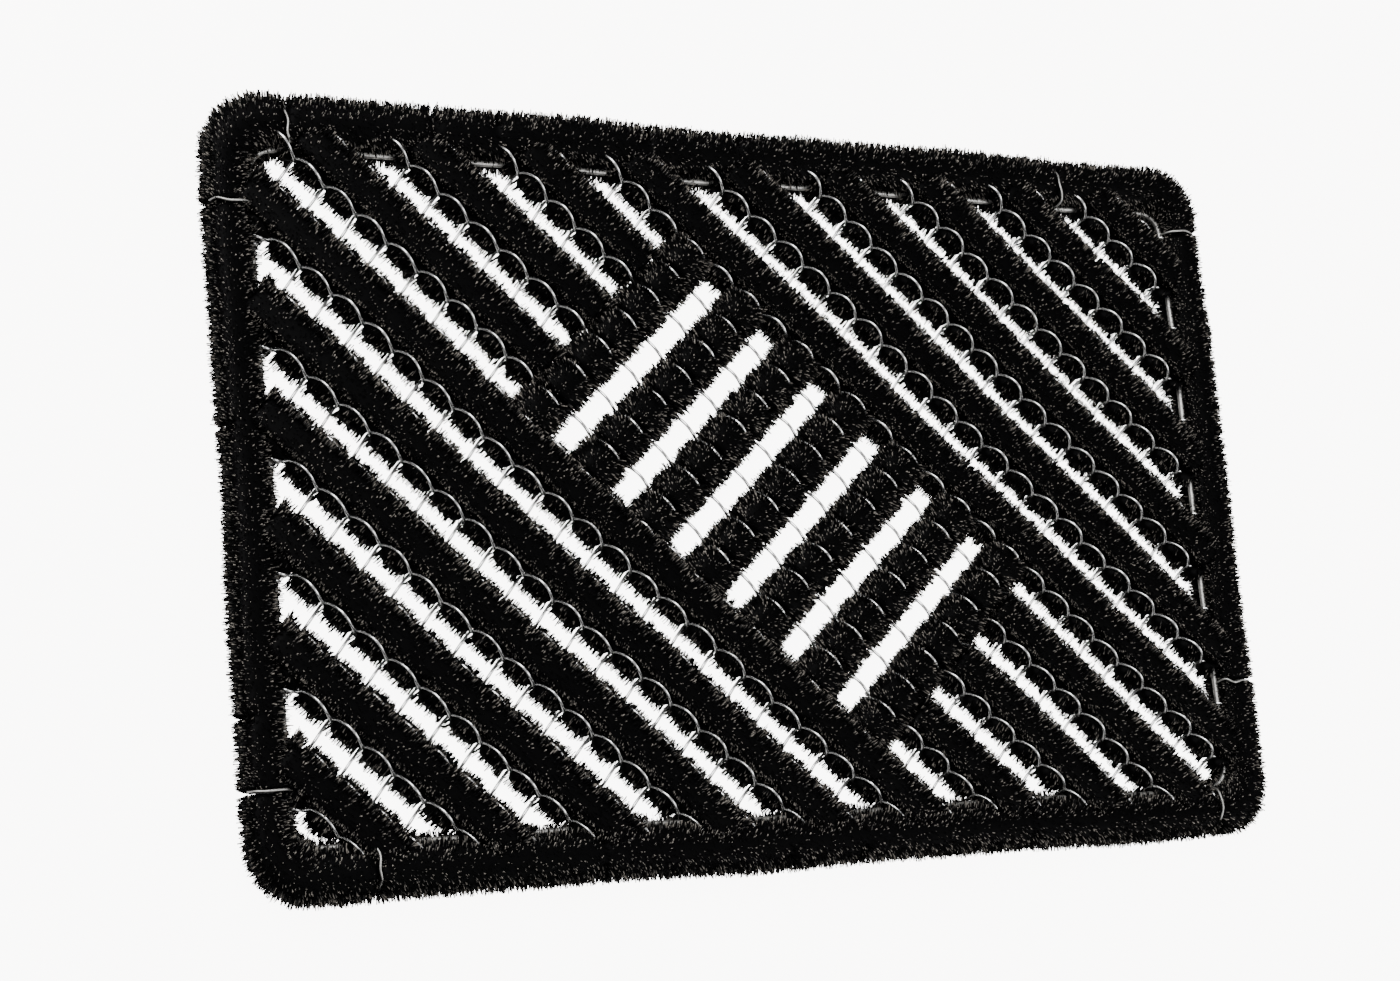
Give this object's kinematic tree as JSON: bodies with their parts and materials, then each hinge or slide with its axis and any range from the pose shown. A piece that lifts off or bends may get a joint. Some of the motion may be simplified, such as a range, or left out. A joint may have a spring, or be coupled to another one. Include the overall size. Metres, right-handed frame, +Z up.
{
  "type": "door mat",
  "caption": "Rectangular scraper door mat: diagonal strips of black bristle held in an interlocked steel wire coil mesh, with a steel rod frame and a brush border.",
  "frame": {"origin": "middle of the underside, on the surface that the mat lies on", "axes": "+X along the long side and along the wire coils, +Y along the short side, +Z up out of the mat"},
  "size_m": [0.6, 0.4, 0.022],
  "materials": {
    "galvanised_wire": "bright galvanised wire, slightly dulled, smooth round section",
    "frame_steel": "dull galvanised rod",
    "bristle": "dense pile of straight black synthetic bristles with cut ends and fine specks of light on them"
  },
  "bodies": {
    "root": {"border_corner_far_left": "bristle", "border_corner_far_right": "bristle", "border_corner_near_left": "bristle", "border_corner_near_right": "bristle", "border_far": "bristle", "border_left": "bristle", "border_near": "bristle", "border_right": "bristle", "brush_cross_1": "bristle", "brush_cross_2": "bristle", "brush_cross_3": "bristle", "brush_cross_4": "bristle", "brush_cross_5": "bristle", "brush_cross_6": "bristle", "brush_cross_7": "bristle", "brush_diagonal_01": "bristle", "brush_diagonal_02": "bristle", "brush_diagonal_03": "bristle", "brush_diagonal_04": "bristle", "brush_diagonal_05": "bristle", "brush_diagonal_06": "bristle", "brush_diagonal_07_far": "bristle", "brush_diagonal_07_near": "bristle", "brush_diagonal_08_far": "bristle", "brush_diagonal_08_near": "bristle", "brush_diagonal_09_far": "bristle", "brush_diagonal_09_near": "bristle", "brush_diagonal_10": "bristle", "brush_diagonal_11": "bristle", "brush_diagonal_12": "bristle", "brush_diagonal_13": "bristle", "brush_diagonal_14": "bristle", "brush_diagonal_15": "bristle", "coil_01": "galvanised_wire", "coil_02": "galvanised_wire", "coil_03": "galvanised_wire", "coil_04": "galvanised_wire", "coil_05": "galvanised_wire", "coil_06": "galvanised_wire", "coil_07": "galvanised_wire", "coil_08": "galvanised_wire", "coil_09": "galvanised_wire", "coil_10": "galvanised_wire", "coil_11": "galvanised_wire", "coil_12": "galvanised_wire", "coil_13": "galvanised_wire", "coil_14": "galvanised_wire", "coil_15": "galvanised_wire", "coil_16": "galvanised_wire", "coil_17": "galvanised_wire", "coil_18": "galvanised_wire", "coil_19": "galvanised_wire", "coil_20": "galvanised_wire", "coil_21": "galvanised_wire", "coil_22": "galvanised_wire", "coil_23": "galvanised_wire", "coil_24": "galvanised_wire", "coil_25": "galvanised_wire", "coil_26": "galvanised_wire", "frame_rod": "frame_steel"}
  },
  "joints": []
}
